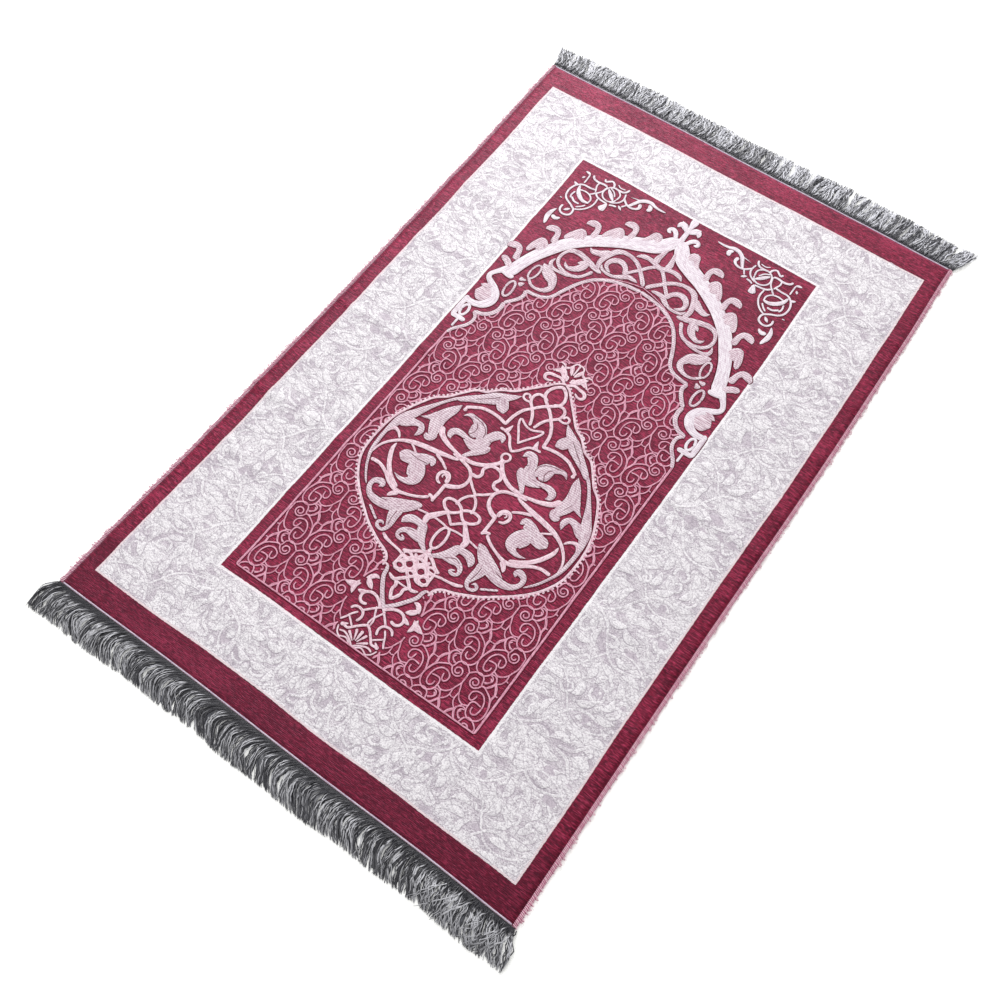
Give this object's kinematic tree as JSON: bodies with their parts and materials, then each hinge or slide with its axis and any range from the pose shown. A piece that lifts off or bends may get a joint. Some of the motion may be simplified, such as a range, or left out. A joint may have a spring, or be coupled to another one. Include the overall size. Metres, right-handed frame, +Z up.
{
  "type": "prayer rug",
  "caption": "Woven prayer rug lying flat, with packing creases, thread-bound long edges and a combed yarn fringe at each end.",
  "frame": {"origin": "middle of the rug, on the floor that it lies on", "axes": "+Y along the rug towards the end with the prayer niche, +X across it to the right, +Z up"},
  "size_m": [0.73, 1.196, 0.0046],
  "materials": {
    "woven_cloth": "fine ribbed jacquard with a soft sheen",
    "overlock_thread": "pale pink overlock thread",
    "fringe_yarn": "silky silver and charcoal yarn"
  },
  "bodies": {
    "root": {"rug_cloth": "woven_cloth", "edge_binding_left": "overlock_thread", "edge_binding_right": "overlock_thread", "fringe_head": "fringe_yarn", "fringe_foot": "fringe_yarn"}
  },
  "joints": []
}
